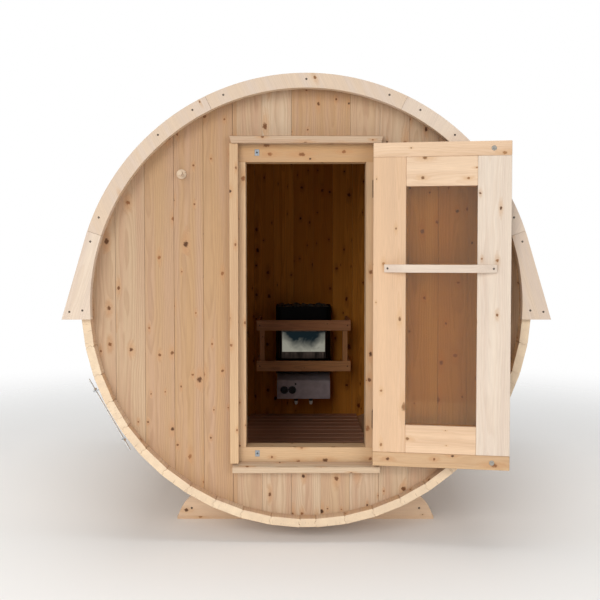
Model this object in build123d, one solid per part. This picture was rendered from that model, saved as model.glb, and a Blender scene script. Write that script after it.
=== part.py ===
from build123d import *
import os
from math import asin, cos, degrees, radians, sin, sqrt, tan

# A barrel sauna for two to four people, on two cradles, with its door standing open.
# X runs across the front to the right, Y along the barrel towards the back, Z is up.
# The origin is under the middle of the front cradle, on the ground. Millimetres and degrees.

# Barrel staves
barrel_radius = 990  # from the axis to the flat outside of a stave
stave_thickness = 38
barrel_length = 2134
stave_count = 46  # full staves, beside the one that closes the ring
closing_stave_width = 71
closing_stave_turn = 0.5  # how far to the right of the lowest point its middle lies
stave_joint_gap = 0.4
stave_edge_chamfer = 3
bead_rise = 5  # one edge is raised in the middle by this much, the other hollowed to match
bead_crest = 8  # height of the bead's flat crest; its two flanks slope
groove_depth = 10  # the cross groove that the end walls sit in
ground_clearance = 72

# End walls
wall_thickness = 38
wall_inset = 60
wall_fit = 0.3

# Flat ring of boards that trims the upper half of each end
fascia_thickness = 38
fascia_outer_lip = 17  # how far it stands outside the staves
fascia_inner_lip = 9  # how far it stands inside them
fascia_top_joint = 25.8  # degrees from the top to the first joint on each side
fascia_side_joint = 71.2
fascia_joint_gap = 0.4
foot_drop = 62  # the flared feet end this far under the axis
foot_tangent_height = 16.5  # degrees above level where the flare leaves the circle

# Cradles
cradle_thickness = 38
cradle_inset = 355  # from the stave ends to the near face of a cradle
cradle_height = 140
cradle_half_length = 617
cradle_end_radius = 190
cradle_strip_height = 14
cradle_strip_overhang = 4
seat_clearance = 0.3

# Steel bands and their tensioners
band_inset = 120  # from the stave ends to the middle of a band
band_width = 22
band_thickness = 1
band_ear_margin = 5  # from the rod to the tip of an ear
band_ear_thickness = 5
band_opening = 13.6  # degrees between the two ears
band_opening_turn = 299.6  # from the lowest point, round by the right, to its middle
rod_radius = 4
rod_length = 375
rod_height = 40  # from the staves to the rod, at its middle
rod_fit = 0.2
rod_sides = 12
nut_radius = 9
nut_length = 9

# Door leaf
door_width = 588
door_ring_gap = 246  # from the barrel's inside, at its top and bottom, to the leaf's ends
door_thickness = 40
door_rise = 0  # of its middle above the barrel's axis
door_hinge_gap = 5
door_lock_gap = 7
door_end_gap = 5
door_seat_gap = 5  # behind the closed leaf
door_open_angle = 170.5
stile_width = 142
end_rail_height = 62
upper_rail_height = 127
lower_rail_height = 122
door_edge_chamfer = 2
door_joint_gap = 0.2
glass_thickness = 6
glass_bite = 10
glass_fit = 0.4

# Handle bars, one on each face of the leaf
handle_lock_distance = 59  # from the leaf's free edge
handle_height = 34
handle_depth = 46
handle_tip_depth = 13
handle_ramp = 88
handle_grip_thickness = 21
handle_hinge_distance = 49  # from its hinged edge
handle_rise = 162  # above the middle of the door

# Door frame and casing
frame_depth = 89
jamb_thickness = 38
jamb_lap = 31  # the part of the frame that the closed leaf rests against
header_lap = 78
sill_lap = 64
header_height = 89
sill_height = 89
casing_size = 38
head_cap_left_margin = 1  # how far the upper cap reaches past the casing
head_cap_right_margin = 3
sill_cap_left_inset = 11  # how far short of the casing's outside the lower cap ends
sill_cap_right_inset = 9
cap_height = 38
head_cap_depth = 50
sill_cap_depth = 56
head_cap_drop = 8
sill_cap_drop = 12
head_cap_bevel = 10

# Hinges
hinge_height = 76
hinge_end_distance = 196  # from the leaf's ends to the middle of a hinge
hinge_axis_lead = 6  # in front of the casing
knuckle_radius = 5
knuckle_sides = 12
knuckle_count = 3
knuckle_gap = 0.5
leaf_thickness = 2
leaf_width = 33
pin_radius = 2.5
pin_clearance = 0.1
pin_head_height = 2
pin_head_radius = 3.5

# Magnet catches
magnet_radius = 11
magnet_thickness = 6
magnet_lock_distance = 75  # from the leaf's free edge to the middle of a magnet
strike_width = 20
strike_height = 28
strike_thickness = 2
strike_fit = 0.2

# Peg on the front wall
peg_left = 554
peg_top_drop = 374  # from the barrel's inside, at its top, down to the peg
peg_length = 70
peg_radius = 8
peg_knob_radius = 11
peg_knob_length = 14
peg_base_radius = 22
peg_base_thickness = 8
peg_sides = 12

# Floor
floor_rise = 90  # from the barrel's inside, at its lowest, up to the walking surface
slat_thickness = 19
slat_width = 92
slat_gap = 13
bearer_width = 38
bearer_height = 38
floor_end_gap = 6

# Heater
heater_width = 355
heater_depth = 275
heater_rise = 150  # of the control box above the floor
tray_height = 95
tray_wall = 3
heater_body_height = 336
heater_corner_radius = 38
heater_wall_gap = 26
intake_height = 100
intake_depth = 90
intake_side = 8
mirror_width = 276
mirror_height = 131
mirror_thickness = 6
mirror_drop = 63  # under the tray
control_width = 340
control_height = 159
control_face_height = 118
control_slope_depth = 130
knob_radius = 25
knob_depth = 22
knob_spacing = 51
knob_left = 98
knob_height = 58
knob_sides = 20
knob_edge = 4
button_radius = 6
button_depth = 6
button_edge = 1
button_left = 51
button_height = 96
gland_radius = 13
gland_stem_radius = 9
gland_length = 42
gland_nut_length = 17
gland_inset = 45  # from the heater's front to the middle of a gland
gland_spacing = 95
gland_sides = 12
bracket_width = 40
bracket_spacing = 178
stone_length = 84
stone_width = 72
stone_height = 62
stone_edge = 17
stone_lean = 14
stone_turn = 77  # each stone is turned by this much from the one before
stone_bed_drop = 30  # from the tray's rim down to the bed, where the upper stones' middles are

# Guard rail round the heater
guard_width = 592
guard_depth = 372  # from the back wall to the face of the front rails
guard_rail_height = 65
guard_rail_thickness = 19
guard_top_drop = 81  # from the top of the heater's tray to the top of the upper rails
guard_low_drop = 338
guard_post_size = 31

# Places worked out from the sizes above
axis_height = barrel_radius + ground_clearance
stave_inside = barrel_radius - stave_thickness
stave_middle = barrel_radius - stave_thickness / 2
closing_stave_angle = degrees(closing_stave_width / stave_middle)
stave_angle = (360 - closing_stave_angle) / stave_count
stave_half_face = barrel_radius * tan(radians(stave_angle / 2)) - stave_edge_chamfer
stave_corner = sqrt(barrel_radius**2 + stave_half_face**2)
barrel_front = -cradle_inset - cradle_thickness / 2
barrel_back = barrel_front + barrel_length
wall_face = barrel_front + wall_inset
wall_back = wall_face + wall_thickness
rear_wall_face = barrel_back - wall_inset - wall_thickness
wall_radius = stave_inside + groove_depth - wall_fit
fascia_outer_radius = barrel_radius + fascia_outer_lip
fascia_inner_radius = stave_inside - fascia_inner_lip

door_middle = axis_height + door_rise
door_bottom = door_middle - stave_inside + door_ring_gap
door_top = door_middle + stave_inside - door_ring_gap
leaf_right = door_width / 2
leaf_left = -door_width / 2
casing_right = leaf_right + door_hinge_gap
casing_left = leaf_left - door_lock_gap
casing_top = door_top + door_end_gap
casing_bottom = door_bottom - door_end_gap
casing_face = wall_face - casing_size
leaf_back = casing_face + door_thickness
frame_face = leaf_back + door_seat_gap
frame_back = frame_face + frame_depth
clear_right = casing_right - jamb_lap
clear_left = casing_left + jamb_lap
clear_top = casing_top - header_lap
clear_bottom = casing_bottom + sill_lap
frame_right = clear_right + jamb_thickness
frame_left = clear_left - jamb_thickness
frame_top = clear_top + header_height
frame_bottom = clear_bottom - sill_height
casing_outside = (casing_left - casing_size, casing_right + casing_size)
handle_length = door_width - handle_hinge_distance - handle_lock_distance
magnet_middle = leaf_left + magnet_lock_distance
hinge_x = leaf_right + door_hinge_gap / 2
hinge_y = casing_face - hinge_axis_lead

floor_top = axis_height - stave_inside + floor_rise
slat_bottom = floor_top - slat_thickness
bearer_bottom = slat_bottom - bearer_height

heater_back = rear_wall_face - heater_wall_gap
heater_front = heater_back - heater_depth
control_bottom = floor_top + heater_rise
heater_bottom = control_bottom + control_height
tray_bottom = heater_bottom + heater_body_height
tray_top = tray_bottom + tray_height
guard_front = rear_wall_face - guard_depth


def block(x, y, z):
    corner = Pos(x[0], y[0], z[0])
    return corner * Box(x[1] - x[0], y[1] - y[0], z[1] - z[0], align=(Align.MIN, Align.MIN, Align.MIN))


def along_barrel(outline, near, far):
    """Gives depth to an outline drawn from the front, from the plane at near to the one at far."""
    return Pos(0, far, 0) * Rot(90, 0, 0) * extrude(outline, far - near)


def round_axis(outline, near, far):
    """The same for an outline that is drawn round the barrel's own axis."""
    return along_barrel(Pos(0, axis_height) * outline, near, far)


def across_barrel(points, left, right):
    """Gives width to an outline of (depth, height) points."""
    side = Plane((left, 0, 0), x_dir=(0, 1, 0), z_dir=(1, 0, 0))
    return extrude(side * make_face(Polyline(points, close=True)), right - left)


def rod_between(start, end, outline):
    run = Vector(*end) - Vector(*start)
    return extrude(Plane(start, z_dir=run) * outline, run.length)


# Staves


def joint_point(angle, height, rise):
    """A point on the right-hand edge of the stave at the top, raised out of that edge by rise."""
    half = radians(angle / 2)
    edge = height * tan(half) - stave_joint_gap / 2 / cos(half)
    return (edge + rise * cos(half), height - rise * sin(half))


def stave_edge(angle, rise):
    """The right-hand edge from top to bottom, with a bead on it, or a cove where rise is below nothing."""
    bead_top = barrel_radius - groove_depth
    bead_bottom = stave_inside + groove_depth
    middle = (bead_top + bead_bottom) / 2
    heights = [(barrel_radius - stave_edge_chamfer, 0), (bead_top, 0), (middle + bead_crest / 2, rise),
               (middle - bead_crest / 2, rise), (bead_bottom, 0), (stave_inside + stave_edge_chamfer, 0)]
    top = joint_point(angle, barrel_radius, 0)[0] - stave_edge_chamfer
    bottom = joint_point(angle, stave_inside, 0)[0] - stave_edge_chamfer
    side = [joint_point(angle, height, out) for height, out in heights]
    return [(top, barrel_radius)] + side + [(bottom, stave_inside)]


def stave_section(angle):
    """The section of the stave at the top: flat faces, eased edges, a bead and a cove."""
    left = [(-x, y) for x, y in reversed(stave_edge(angle, -bead_rise))]
    return make_face(Polyline(stave_edge(angle, bead_rise) + left, close=True))


def stave(angle):
    blank = extrude(stave_section(angle), barrel_length)
    groove_width = wall_thickness + 2 * wall_fit
    reach = 2 * stave_thickness + closing_stave_width
    for start in (wall_inset - wall_fit, barrel_length - wall_inset - wall_thickness - wall_fit):
        groove = block((-reach, reach), (stave_inside - groove_depth, stave_inside + groove_depth),
                       (start, start + groove_width))
        blank -= groove
    return Pos(0, barrel_back, axis_height) * Rot(90, 0, 0) * blank


def staves():
    """Every stave in its place, by the eighth of the ring that it lies in."""
    eighths = ("bottom", "lower_right", "right", "upper_right", "top", "upper_left", "left", "lower_left")
    groups = {f"staves_{name}": [] for name in eighths}
    full, closing = stave(stave_angle), stave(closing_stave_angle)
    turns = [(closing, closing_stave_turn)]
    for number in range(stave_count):
        first_edge = closing_stave_turn + closing_stave_angle / 2
        turns.append((full, first_edge + (number + 0.5) * stave_angle))
    for piece, turn in turns:
        eighth = eighths[round(turn * len(eighths) / 360) % len(eighths)]
        about_axis = Pos(0, 0, axis_height) * Rot(0, 180 - turn, 0) * Pos(0, 0, -axis_height)
        groups[f"staves_{eighth}"].append(about_axis * piece)
    return groups


# End walls


def front_walls():
    disc = round_axis(Circle(wall_radius), wall_face, wall_back)
    depth = (wall_face, wall_back)
    far = barrel_radius
    low, high = axis_height - far, axis_height + far
    left, right = frame_left - wall_fit, frame_right + wall_fit
    return {
        "front_wall_left": disc & block((-far, left), depth, (low, high)),
        "front_wall_right": disc & block((right, far), depth, (low, high)),
        "front_wall_over_door": disc & block((left, right), depth, (frame_top + wall_fit, high)),
        "front_wall_under_door": disc & block((left, right), depth, (low, frame_bottom - wall_fit)),
    }


def back_wall():
    return round_axis(Circle(wall_radius), rear_wall_face, rear_wall_face + wall_thickness)


# Fascia


def on_circle(radius, from_top):
    return (radius * sin(radians(from_top)), radius * cos(radians(from_top)))


def fascia_arc(start, end):
    """A piece of the ring between two angles from the top, drawn from the front."""
    ease = degrees(fascia_joint_gap / 2 / fascia_outer_radius)
    start, end = start + ease, end - ease
    outer = CenterArc((0, 0), fascia_outer_radius, 90 - end, end - start)
    inner = CenterArc((0, 0), fascia_inner_radius, 90 - end, end - start)
    edges = [outer, inner, Line(outer @ 0, inner @ 0), Line(outer @ 1, inner @ 1)]
    return make_face([edge.edge() for edge in edges])


def fascia_foot():
    """The lowest piece: it leaves the circle on a tangent and widens into a foot."""
    start = fascia_side_joint + degrees(fascia_joint_gap / 2 / fascia_outer_radius)
    leave = 90 - foot_tangent_height
    outer = CenterArc((0, 0), fascia_outer_radius, 90 - leave, leave - start)
    inner_end = 90 + degrees(asin(foot_drop / fascia_inner_radius))
    inner = CenterArc((0, 0), fascia_inner_radius, 90 - inner_end, inner_end - start)
    x, y = on_circle(fascia_outer_radius, leave)
    fall = (y + foot_drop) / sin(radians(leave))
    tip = (x + fall * cos(radians(leave)), -foot_drop)
    edges = [outer, inner, Line(outer @ 1, inner @ 1), Line(outer @ 0, tip), Line(tip, inner @ 0)]
    return make_face([edge.edge() for edge in edges])


def fascia(near):
    """The boards of one end: one at the top, and a curved one and a foot on each side."""
    top = fascia_arc(-fascia_top_joint, fascia_top_joint)
    side = fascia_arc(fascia_top_joint, fascia_side_joint)
    foot = fascia_foot()
    sides = [side, mirror(side, Plane.YZ)]
    feet = [foot, mirror(foot, Plane.YZ)]
    outlines = {"top": [top], "sides": sides, "feet": feet}
    far = near + fascia_thickness
    return {name: [round_axis(outline, near, far) for outline in pair] for name, pair in outlines.items()}


# Cradles


def cradle(near):
    """A board on edge with rounded ends and a seat for the barrel cut into its top."""
    base, top = cradle_strip_height, cradle_strip_height + cradle_height
    end_centre = top - cradle_end_radius
    end_x = cradle_half_length - sqrt(cradle_end_radius**2 - (base - end_centre) ** 2)
    corner_turn = degrees(asin((base - end_centre) / cradle_end_radius))
    right = CenterArc((end_x, end_centre), cradle_end_radius, corner_turn, 90 - corner_turn)
    left = CenterArc((-end_x, end_centre), cradle_end_radius, 90, 90 - corner_turn)
    edges = [right, left, Line(right @ 1, left @ 0), Line(left @ 1, right @ 0)]
    outline = make_face([edge.edge() for edge in edges])
    seat = Pos(0, axis_height) * Circle(stave_corner + seat_clearance)
    return along_barrel(outline - seat, near, near + cradle_thickness)


def cradle_strip(near):
    reach = cradle_half_length + cradle_strip_overhang
    return block((-reach, reach), (near, near + cradle_thickness), (0, cradle_strip_height))


# Steel bands


def strap_outline(gap):
    """A polygon with its corners over the stave joints, so that each side lies flat on a stave."""
    reach = (barrel_radius + gap) / cos(radians(stave_angle / 2))
    first_edge = closing_stave_turn + closing_stave_angle / 2
    turns = [radians(first_edge + number * stave_angle) for number in range(stave_count + 1)]
    return make_face(Polyline([(reach * sin(turn), -reach * cos(turn)) for turn in turns], close=True))


def band(middle):
    """A strap round the staves, open at its tensioner, with an ear at each end."""
    half = band_opening / 2
    rod_distance = barrel_radius + rod_height
    ear_tip = rod_distance / cos(radians(half)) + rod_radius + band_ear_margin
    ear_middle = (barrel_radius + ear_tip) / 2
    turned = Rot(0, 0, band_opening_turn - 90)
    strap = strap_outline(seat_clearance + band_thickness)
    strap -= turned * make_face(Polyline([(0, 0), *[(2 * barrel_radius * cos(radians(half)),
                                                     side * 2 * barrel_radius * sin(radians(half)))
                                                    for side in (-1, 1)]], close=True))
    for side in (-1, 1):
        ear = Rectangle(ear_tip - barrel_radius, band_ear_thickness)
        strap += turned * Rot(0, 0, side * half) * Pos(ear_middle, side * band_ear_thickness / 2) * ear
    strap -= strap_outline(seat_clearance)
    ring = round_axis(strap, middle - band_width / 2, middle + band_width / 2)
    return ring - tensioner_rod(middle, rod_radius + rod_fit)


def rod_line(middle, length):
    """The ends of a line of the given length where the tensioner's rod runs."""
    distance = barrel_radius + rod_height
    turn = radians(band_opening_turn - 90)
    centre = Vector(distance * cos(turn), middle, axis_height + distance * sin(turn))
    along = Vector(-sin(turn), 0, cos(turn))
    return centre - along * (length / 2), centre + along * (length / 2)


def tensioner_rod(middle, radius):
    return rod_between(*rod_line(middle, rod_length), RegularPolygon(radius, rod_sides))


def tensioner(middle):
    """The threaded rod with a nut outside each ear."""
    rod = tensioner_rod(middle, rod_radius)
    half = radians(band_opening / 2)
    ear_edge = (barrel_radius + rod_height + nut_radius) * tan(half) + band_ear_thickness / cos(half)
    near = ear_edge + seat_clearance
    for end in (0, 1):
        nut_start = rod_line(middle, 2 * near)[end]
        nut_end = rod_line(middle, 2 * (near + nut_length))[end]
        rod += rod_between(nut_start, nut_end, RegularPolygon(nut_radius, 6))
    return rod


# Door frame, casing and caps


def door_frame():
    depth = (frame_face, frame_back)
    jambs = [block(sides, depth, (clear_bottom, clear_top))
             for sides in ((frame_left, clear_left), (clear_right, frame_right))]
    header = block((frame_left, frame_right), depth, (clear_top, frame_top))
    sill = block((frame_left, frame_right), depth, (frame_bottom, clear_bottom))
    recess_low, recess_high = (strike_pocket(height) for height in strike_heights())
    return {"door_jambs": jambs, "door_header": header - recess_high, "door_sill": sill - recess_low}


def casing_sides():
    depth, height = (casing_face, wall_face), (casing_bottom, casing_top)
    outsides = ((casing_outside[0], casing_left), (casing_right, casing_outside[1]))
    return [block(sides, depth, height) for sides in outsides]


def head_cap():
    """The board over the door: its top sheds water and its ends lean in towards the bottom."""
    bottom, top = casing_top, casing_top + cap_height
    front = wall_face - head_cap_depth
    side = [(wall_face, bottom), (wall_face, top), (front, top - head_cap_drop), (front, bottom)]
    left, right = casing_outside[0] - head_cap_left_margin, casing_outside[1] + head_cap_right_margin
    board = across_barrel(side, left, right)
    ends = Polyline([(left + head_cap_bevel, bottom), (right - head_cap_bevel, bottom), (right, top), (left, top)],
                    close=True)
    return board & along_barrel(make_face(ends), front, wall_face)


def sill_cap():
    bottom, top = casing_bottom - cap_height, casing_bottom
    front = wall_face - sill_cap_depth
    side = [(wall_face, bottom), (wall_face, top), (front, top - sill_cap_drop), (front, bottom)]
    return across_barrel(side, casing_outside[0] + sill_cap_left_inset, casing_outside[1] - sill_cap_right_inset)


def strike_heights():
    return (door_bottom + end_rail_height / 2, door_top - end_rail_height / 2)


def strike_box(height, ease):
    x = (magnet_middle - strike_width / 2 - ease, magnet_middle + strike_width / 2 + ease)
    z = (height - strike_height / 2 - ease, height + strike_height / 2 + ease)
    return block(x, (frame_face, frame_face + strike_thickness), z)


def strike_pocket(height):
    return strike_box(height, strike_fit)


# Door leaf, modelled closed


def inside_hinge_line(piece):
    """Swings a piece of the closed leaf to where the open leaf stands."""
    return Pos(hinge_x, hinge_y, 0) * Rot(0, 0, door_open_angle) * Pos(-hinge_x, -hinge_y, 0) * piece


def eased(board):
    return chamfer(board.edges(), door_edge_chamfer)


def door_leaf():
    depth = (casing_face, leaf_back)
    rail_gap = door_joint_gap
    stile_z = (door_bottom + end_rail_height + rail_gap, door_top - end_rail_height - rail_gap)
    glass_x = (leaf_left + stile_width, leaf_right - stile_width)
    rail_x = (glass_x[0] + rail_gap, glass_x[1] - rail_gap)
    glass_z = (stile_z[0] + lower_rail_height, stile_z[1] - upper_rail_height)
    middle = (casing_face + leaf_back) / 2
    pane_y = (middle - glass_thickness / 2, middle + glass_thickness / 2)
    pane = block((glass_x[0] - glass_bite, glass_x[1] + glass_bite), pane_y,
                 (glass_z[0] - glass_bite, glass_z[1] + glass_bite))
    slot = block((glass_x[0] - glass_bite - glass_fit, glass_x[1] + glass_bite + glass_fit),
                 (pane_y[0] - glass_fit, pane_y[1] + glass_fit),
                 (glass_z[0] - glass_bite - glass_fit, glass_z[1] + glass_bite + glass_fit))
    end_rails = [eased(block((leaf_left, leaf_right), depth, (door_bottom, door_bottom + end_rail_height))),
                 eased(block((leaf_left, leaf_right), depth, (door_top - end_rail_height, door_top)))]
    pockets = [magnet(height, strike_fit) for height in strike_heights()]
    return {
        "door_end_rails": [rail - pocket for rail, pocket in zip(end_rails, pockets)],
        "door_hinge_stile": eased(block((glass_x[1], leaf_right), depth, stile_z)) - slot,
        "door_lock_stile": eased(block((leaf_left, glass_x[0]), depth, stile_z)) - slot,
        "door_inner_rails": [eased(block(rail_x, depth, height)) - slot
                             for height in ((stile_z[0] + rail_gap, glass_z[0]),
                                            (glass_z[1], stile_z[1] - rail_gap))],
        "door_glass": pane,
    }


def magnet(height, ease):
    """A round magnet let into the inner face of the leaf."""
    start = (magnet_middle, leaf_back - magnet_thickness - ease, height)
    return rod_between(start, (magnet_middle, leaf_back, height), Circle(magnet_radius + ease))


def handle(face, outwards):
    """A bar sawn from one piece: its ends ramp down to the leaf and its back is hollowed."""
    end = handle_length
    hollow = handle_depth - handle_grip_thickness
    outer = [(0, 0), (0, handle_tip_depth), (handle_ramp, handle_depth), (end - handle_ramp, handle_depth),
             (end, handle_tip_depth), (end, 0), (end - handle_ramp, 0)]
    right = Line((end - handle_ramp, 0), (end - handle_ramp - hollow, hollow))
    left = Line((handle_ramp + hollow, hollow), (handle_ramp, 0))
    edges = [Polyline(outer), right, Line(right @ 1, left @ 0), left, Line((handle_ramp, 0), (0, 0))]
    outline = make_face([edge for piece in edges for edge in piece.edges()])
    bar = extrude(outline, handle_height)
    hollow_edges = bar.edges().filter_by(Axis.Z).sort_by(lambda edge: abs(edge.center().X - end / 2))[:2]
    bar = fillet(hollow_edges, hollow)
    flip = Plane((leaf_right - handle_hinge_distance, face, door_middle + handle_rise - handle_height / 2),
                 x_dir=(-1, 0, 0), z_dir=(0, 0, 1))
    bar = flip * bar
    return bar if outwards < 0 else mirror(bar, Plane((0, face, 0), z_dir=(0, 1, 0)))


# Hinges


def hinge_heights():
    return (door_bottom + hinge_end_distance, door_top - hinge_end_distance)


def hinge_leaf(height, side):
    """One half of a butt hinge: side 1 is screwed to the casing and holds the pin, side -1 to the leaf."""
    low = height - hinge_height / 2
    edge = casing_right if side > 0 else leaf_right
    x = sorted((edge, edge - side * leaf_thickness))
    clear = casing_face + knuckle_gap
    plate = block(x, (clear, clear + leaf_width), (low, low + hinge_height))
    pitch = hinge_height / knuckle_count
    for number in range(0 if side > 0 else 1, knuckle_count, 2):
        z = (low + number * pitch + knuckle_gap / 2, low + (number + 1) * pitch - knuckle_gap / 2)
        knuckle = hinge_rod(z[0], z[1], RegularPolygon(knuckle_radius, knuckle_sides))
        plate += knuckle + block(x, (hinge_y, clear), z)
    if side < 0:
        return plate - hinge_rod(low, low + hinge_height, Circle(pin_radius + pin_clearance))
    pin = hinge_rod(low + knuckle_gap, low + hinge_height, Circle(pin_radius))
    head_top = low + hinge_height + pin_head_height
    return plate + pin + hinge_rod(low + hinge_height - knuckle_gap, head_top, Circle(pin_head_radius))


def hinge_rod(low, high, outline):
    return rod_between((hinge_x, hinge_y, low), (hinge_x, hinge_y, high), outline)


# Peg on the front wall


def wall_peg():
    """A peg with a wide base and a knob at its end."""
    knob_start = peg_length - peg_knob_length
    places = [(0, -reach, 0) for reach in (0, peg_base_thickness, knob_start, peg_length)]
    outlines = [RegularPolygon(radius, peg_sides) for radius in (peg_base_radius, peg_radius, peg_knob_radius)]
    base, stem, knob = [rod_between(*ends) for ends in zip(places, places[1:], outlines)]
    peg = base + stem + knob
    return Pos(-peg_left, wall_face, axis_height + stave_inside - peg_top_drop) * peg


# Floor


def floor_slats():
    start, end = wall_back + floor_end_gap, rear_wall_face - floor_end_gap
    count = int((end - start + slat_gap) // (slat_width + slat_gap))
    pitch = (end - start - slat_width) / (count - 1)
    drop = axis_height - slat_bottom
    half = sqrt(stave_inside**2 - drop**2) - floor_end_gap
    return [block((-half, half), (start + number * pitch, start + number * pitch + slat_width),
                  (slat_bottom, floor_top)) for number in range(count)]


def floor_bearers():
    """Two joists that sit in the curve of the staves, under the slats."""
    drop = axis_height - bearer_bottom
    outside = sqrt((stave_inside - seat_clearance) ** 2 - drop**2)
    depth = (wall_back + floor_end_gap, rear_wall_face - floor_end_gap)
    return [block(sides, depth, (bearer_bottom, slat_bottom))
            for sides in ((-outside, bearer_width - outside), (outside - bearer_width, outside))]


# Heater


def heater_plan(width, ease):
    """The heater seen from above, with its two front corners rounded."""
    corner = heater_corner_radius - ease
    plan = Pos(0, (heater_front + heater_back) / 2) * Rectangle(width - 2 * ease, heater_depth - 2 * ease)
    front = plan.vertices().sort_by(Axis.Y)[:2]
    return fillet(front, corner)


def heater():
    tray = Pos(0, 0, tray_bottom) * extrude(heater_plan(heater_width, 0), tray_height)
    tray -= Pos(0, 0, tray_bottom + tray_wall) * extrude(heater_plan(heater_width, tray_wall), tray_height)
    body = Pos(0, 0, heater_bottom) * extrude(heater_plan(heater_width, 0), heater_body_height)
    intake_half = heater_width / 2 - intake_side
    intake = block((-intake_half, intake_half), (heater_front, heater_front + intake_depth),
                   (heater_bottom, heater_bottom + intake_height))
    mirror_top = tray_bottom - mirror_drop
    mirror_panel = block((-mirror_width / 2, mirror_width / 2),
                         (heater_front - mirror_thickness, heater_front),
                         (mirror_top - mirror_height, mirror_top))
    face_top = control_bottom + control_face_height
    side = [(heater_back, control_bottom), (heater_back, heater_bottom),
            (heater_front + control_slope_depth, heater_bottom), (heater_front, face_top),
            (heater_front, control_bottom)]
    bracket = block((-bracket_width / 2, bracket_width / 2), (heater_back, rear_wall_face),
                    (control_bottom, tray_bottom))
    brackets = [Pos(middle, 0, 0) * bracket for middle in (-bracket_spacing / 2, bracket_spacing / 2)]
    return {
        "heater_tray": tray,
        "heater_body": body - intake,
        "heater_mirror_panel": mirror_panel,
        "heater_control_box": across_barrel(side, -control_width / 2, control_width / 2),
        "heater_brackets": brackets,
    }


def heater_knobs():
    """Two knobs and a small button on the face of the control box."""
    places = [(-knob_left + shift, knob_height, knob_radius, knob_depth, knob_edge)
              for shift in (-knob_spacing / 2, knob_spacing / 2)]
    places.append((-button_left, button_height, button_radius, button_depth, button_edge))
    knobs = []
    for x, height, radius, depth, edge in places:
        start = (x, heater_front, control_bottom + height)
        end = (x, heater_front - depth, control_bottom + height)
        knob = rod_between(start, end, RegularPolygon(radius, knob_sides))
        knobs.append(chamfer(knob.faces().sort_by(Axis.Y)[0].edges(), edge))
    return knobs


def heater_glands():
    """Cable glands in the underside of the control box."""
    y = heater_front + gland_inset
    glands = []
    for x in (-gland_spacing / 2, gland_spacing / 2):
        top, end = (x, y, control_bottom), (x, y, control_bottom - gland_length)
        nut_end = (x, y, control_bottom - gland_nut_length)
        glands.append(rod_between(top, nut_end, RegularPolygon(gland_radius, 6))
                      + rod_between(nut_end, end, RegularPolygon(gland_stem_radius, gland_sides)))
    return glands


def heater_stones():
    """Stones with blunt corners, each turned another way, on a bed of stones that fills the tray."""
    inside = tray_wall + seat_clearance
    bed_height = tray_height - tray_wall - stone_bed_drop
    bed = Pos(0, 0, tray_bottom + tray_wall) * extrude(heater_plan(heater_width, inside), bed_height)
    stone = chamfer(Box(stone_length, stone_width, stone_height).edges(), stone_edge)
    columns = int((heater_width - 2 * inside) // stone_length)
    rows = int((heater_depth - 2 * inside) // stone_length)
    for number in range(columns * rows):
        x = (number % columns - (columns - 1) / 2) * stone_length
        y = (heater_front + heater_back) / 2 + (number // columns - (rows - 1) / 2) * stone_length
        lean = stone_lean if number % 2 else -stone_lean
        bed += Pos(x, y, tray_top - stone_bed_drop) * Rot(lean, 0, number * stone_turn) * stone
    return bed


# Guard rail


def guard():
    half = guard_width / 2
    tops = (tray_top - guard_top_drop, tray_top - guard_low_drop)
    bands = [(top - guard_rail_height, top) for top in tops]
    behind = guard_front + guard_rail_thickness
    inner = half - guard_rail_thickness
    post_z = (bands[1][0], bands[0][1])
    fronts = [block((-half, half), (guard_front, behind), z) for z in bands]
    left = (-half, -inner)
    right = (inner, half)
    sides = [block(x, (behind, rear_wall_face), z) for x in (left, right) for z in bands]
    posts = [block(x, (behind, behind + guard_post_size), post_z)
             for x in ((-inner, guard_post_size - inner), (inner - guard_post_size, inner))]
    return {"guard_front_rails": fronts, "guard_side_rails": sides, "guard_posts": posts}


def barrel_nodes():
    nodes = staves()
    nodes |= front_walls()
    nodes["back_wall"] = back_wall()
    front_fascia = fascia(barrel_front - fascia_thickness)
    nodes |= {f"front_fascia_{name}": pieces for name, pieces in front_fascia.items()}
    nodes["rear_fascia"] = [piece for pieces in fascia(barrel_back).values() for piece in pieces]
    cradles = {"front": barrel_front + cradle_inset, "rear": barrel_back - cradle_inset - cradle_thickness}
    nodes |= {f"{name}_cradle": cradle(near) for name, near in cradles.items()}
    nodes["cradle_strips"] = [cradle_strip(near) for near in cradles.values()]
    bands = {"front": barrel_front + band_inset, "rear": barrel_back - band_inset}
    nodes |= {f"{name}_band_tensioner": tensioner(middle) for name, middle in bands.items()}
    nodes["steel_bands"] = [band(middle) for middle in bands.values()]
    nodes |= door_frame()
    nodes["door_casing_sides"] = casing_sides()
    nodes["door_head_cap"] = head_cap()
    nodes["door_sill_cap"] = sill_cap()
    nodes["strike_plates"] = [strike_box(height, 0) for height in strike_heights()]
    nodes["hinge_casing_halves"] = [hinge_leaf(height, 1) for height in hinge_heights()]
    nodes["wall_peg"] = wall_peg()
    nodes["floor_slats"] = floor_slats()
    nodes["floor_bearers"] = floor_bearers()
    nodes |= heater()
    nodes["heater_knobs"] = heater_knobs()
    nodes["heater_glands"] = heater_glands()
    nodes["heater_stones"] = heater_stones()
    nodes |= guard()
    return nodes


def door_nodes():
    nodes = door_leaf()
    nodes["door_inside_handle"] = handle(leaf_back, 1)
    nodes["door_outside_handle"] = handle(casing_face, -1)
    nodes["door_magnets"] = [magnet(height, 0) for height in strike_heights()]
    nodes["hinge_leaf_halves"] = [hinge_leaf(height, -1) for height in hinge_heights()]
    return {name: [inside_hinge_line(piece) for piece in (pieces if isinstance(pieces, list) else [pieces])]
            for name, pieces in nodes.items()}


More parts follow.
